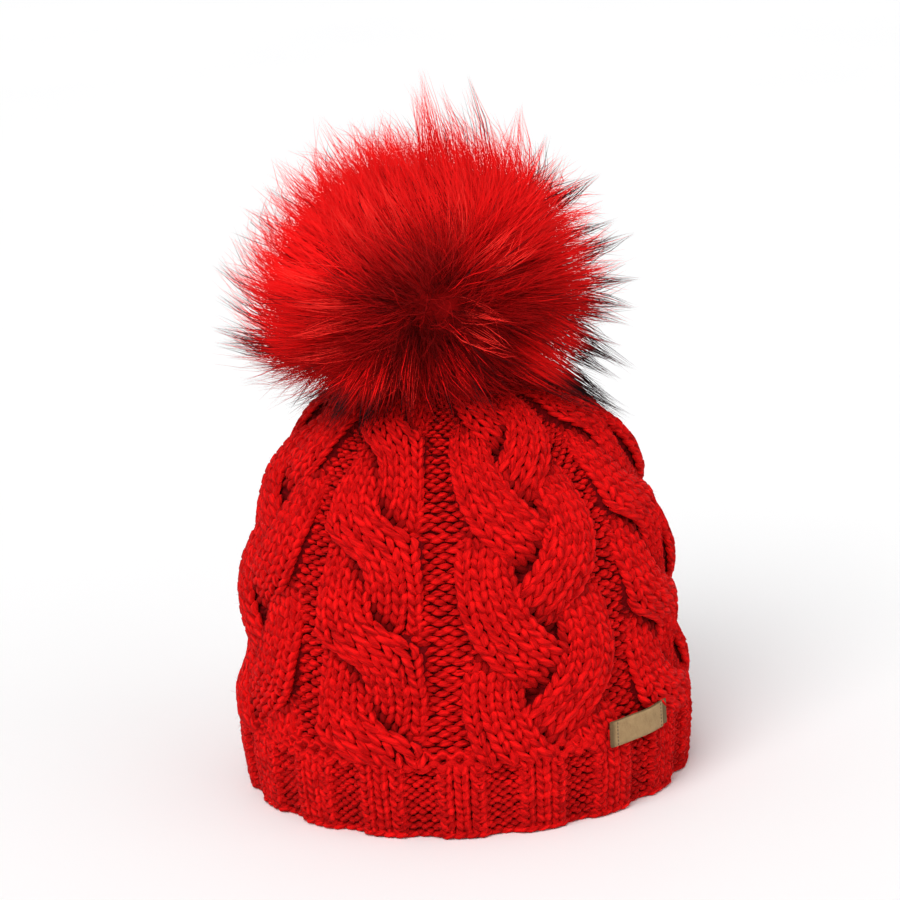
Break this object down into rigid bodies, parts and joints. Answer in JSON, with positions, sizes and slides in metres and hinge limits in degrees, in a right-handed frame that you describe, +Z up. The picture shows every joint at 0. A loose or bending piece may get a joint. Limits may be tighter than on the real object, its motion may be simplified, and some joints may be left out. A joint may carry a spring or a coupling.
{
  "type": "bobble hat",
  "caption": "Cable-knit bobble hat with plaits and ropes in relief, a ribbed hem band, a fur pompom on the gathered crown and a small folded tab label.",
  "frame": {"origin": "centre of the hem, on the plane that the hat rests on", "axes": "+Z up from the hem to the pompom, -Y to the front of the hat, the label on the +X side of the front"},
  "size_m": [0.1916, 0.1916, 0.2805],
  "materials": {
    "red_wool": "matt fuzzy chunky wool",
    "red_ribbing": "matt fuzzy chunky wool, ribbed",
    "red_fur": "dyed long fur with dark guard hairs",
    "red_button": "satin",
    "tan_tape": "matt woven tape"
  },
  "bodies": {
    "root": {"rib_band": "red_ribbing", "crown": "red_wool", "pompom": "red_fur", "tie_button": "red_button", "label": "tan_tape"}
  },
  "joints": []
}
